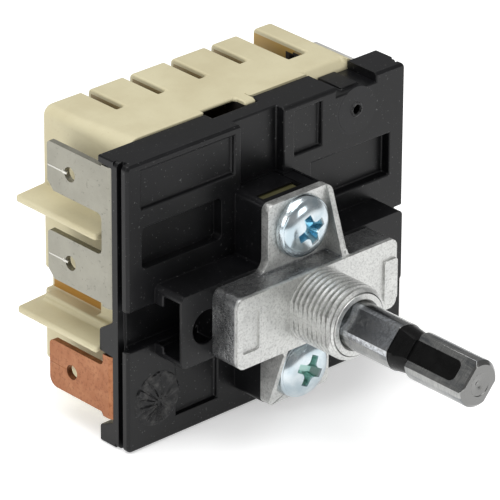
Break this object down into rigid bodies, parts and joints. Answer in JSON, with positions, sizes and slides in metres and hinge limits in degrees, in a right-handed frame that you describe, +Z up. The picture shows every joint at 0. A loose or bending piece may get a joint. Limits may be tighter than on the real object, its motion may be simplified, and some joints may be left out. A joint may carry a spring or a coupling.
{
  "type": "energy regulator",
  "caption": "Rotary cycling regulator for a cooker ring: black and cream case, zinc bracket with threaded bush, flatted shaft and side tab terminals.",
  "frame": {"origin": "where the shaft axis meets the front face of the bracket's cross-bar, which seats against the back of the panel", "axes": "-Y along the shaft towards the knob, +Y into the case, +X to the right seen from the knob, +Z up"},
  "size_m": [0.046, 0.0568, 0.0382],
  "materials": {
    "black_moulding": "moulded, satin",
    "cream_moulding": "moulded, matt",
    "cast_zinc": "as cast",
    "blue_zinc_steel": "bright zinc plated",
    "bright_steel": "ground",
    "black_clip": "satin",
    "spring_steel": "plain",
    "white_moulding": "moulded",
    "bimetal": "plain",
    "heater_card": "matt",
    "brass": "plain",
    "plated_metal": "plated, satin",
    "copper": "plain",
    "spring_copper": "plain",
    "contact_silver": "plain"
  },
  "bodies": {
    "regulator_body": {"front_base": "black_moulding", "rear_housing": "cream_moulding", "mounting_bracket": "cast_zinc", "bracket_screw_upper": "blue_zinc_steel", "bracket_screw_lower": "blue_zinc_steel", "follower_pivot_pin": "bright_steel", "bimetal_strip": "bimetal", "bimetal_heater": "heater_card", "bimetal_anchor": "spring_steel", "bimetal_rivet": "brass", "bimetal_pusher": "white_moulding", "calibration_screw": "brass", "terminal_left_double": "plated_metal", "terminal_left_copper": "copper", "terminal_right_upper": "plated_metal", "terminal_right_lower": "plated_metal", "snap_fixed_contact": "contact_silver", "isolator_fixed_contact": "contact_silver"},
    "shaft_and_cam": {"shaft": "bright_steel", "shaft_clip": "black_clip", "shaft_retaining_ring": "spring_steel", "cam": "white_moulding"},
    "follower": {"follower_lever": "spring_steel"},
    "snap_contact": {"snap_blade": "spring_copper", "snap_moving_contact": "contact_silver"},
    "isolator_contact": {"isolator_blade": "spring_copper", "isolator_moving_contact": "contact_silver"}
  },
  "joints": [
    {"name": "shaft_turn", "type": "hinge", "parent": "regulator_body", "child": "shaft_and_cam", "pos_m": [0, 0, 0], "axis": [0, 1, 0], "range_deg": [0, 300]},
    {"name": "follower_swing", "type": "hinge", "parent": "regulator_body", "child": "follower", "pos_m": [0.013, 0.0151, 0.0075], "axis": [0, 1, 0], "range_deg": [0, 11]},
    {"name": "snap_contact_swing", "type": "hinge", "parent": "regulator_body", "child": "snap_contact", "pos_m": [-0.0119, 0.0185, 0.0152], "axis": [0, -1, 0], "range_deg": [0, 3], "stiffness_Nm_per_rad": 0.01, "springref_deg": -2.86},
    {"name": "isolator_swing", "type": "hinge", "parent": "regulator_body", "child": "isolator_contact", "pos_m": [-0.0119, 0.0185, -0.0093], "axis": [0, 1, 0], "range_deg": [0, 1.9], "stiffness_Nm_per_rad": 0.01, "springref_deg": -2.86}
  ],
  "couplings": [
    {"joint": "follower_swing", "follows": "shaft_turn", "ratio": 0.036333}
  ]
}
